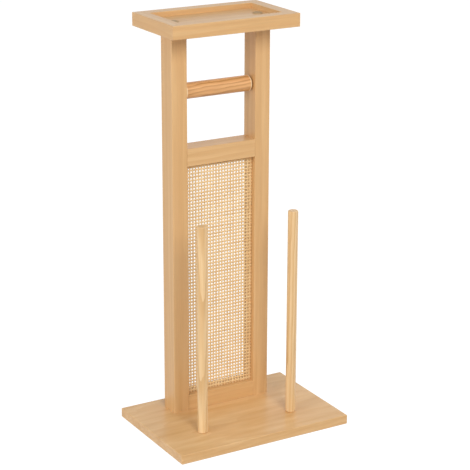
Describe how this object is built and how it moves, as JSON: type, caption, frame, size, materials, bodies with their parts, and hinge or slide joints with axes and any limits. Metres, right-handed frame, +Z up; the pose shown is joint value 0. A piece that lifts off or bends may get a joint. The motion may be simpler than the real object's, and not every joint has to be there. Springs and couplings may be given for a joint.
{
  "type": "freestanding toilet roll holder",
  "caption": "Wooden toilet roll stand: shallow tray on a post frame, sprung roll bar, cane mesh panel, and rods on the base for spare rolls.",
  "frame": {"origin": "on the floor, under the middle of the base board", "axes": "+Z up; -Y is the front, where the spare-roll rods stand; +X to the right seen from the front"},
  "size_m": [0.3, 0.2245, 0.65],
  "materials": {
    "frame_wood": "satin lacquer",
    "bar_pine": "satin lacquer, strong grain",
    "rod_wood": "satin lacquer",
    "dowel_wood": "raw",
    "cane": "matt woven cane",
    "steel": "zinc plated",
    "cap_plastic": "matt",
    "bush_plastic": "matt"
  },
  "bodies": {
    "stand": {"base_board": "frame_wood", "left_post": "frame_wood", "right_post": "frame_wood", "bottom_rail": "frame_wood", "middle_rail": "frame_wood", "rail_dowels": "dowel_wood", "cane_panel": "cane", "top_bead": "frame_wood", "bottom_bead": "frame_wood", "left_bead": "frame_wood", "right_bead": "frame_wood", "bead_brads": "steel", "tray_floor": "frame_wood", "tray_front_rim": "frame_wood", "tray_right_rim": "frame_wood", "tray_back_rim": "frame_wood", "tray_left_rim": "frame_wood", "post_foot_screws": "steel", "rod_foot_screws": "steel", "tray_screws": "steel", "screw_caps": "cap_plastic", "left_rod": "rod_wood", "right_rod": "rod_wood"},
    "roller": {"roll_bar": "bar_pine", "bar_stud": "steel", "pin_bush": "bush_plastic", "pin_spring": "steel"},
    "pin": {"sprung_pin": "steel"}
  },
  "joints": [
    {"name": "roller_spin", "type": "hinge", "parent": "stand", "child": "roller", "pos_m": [0, 0.057, 0.535], "axis": [1, 0, 0], "continuous": true},
    {"name": "pin_press", "type": "slide", "parent": "roller", "child": "pin", "axis": [-1, 0, 0], "range_m": [0, 0.008], "stiffness_N_per_m": 300, "springref_m": -0.008, "deforming": ["pin_spring"]}
  ]
}
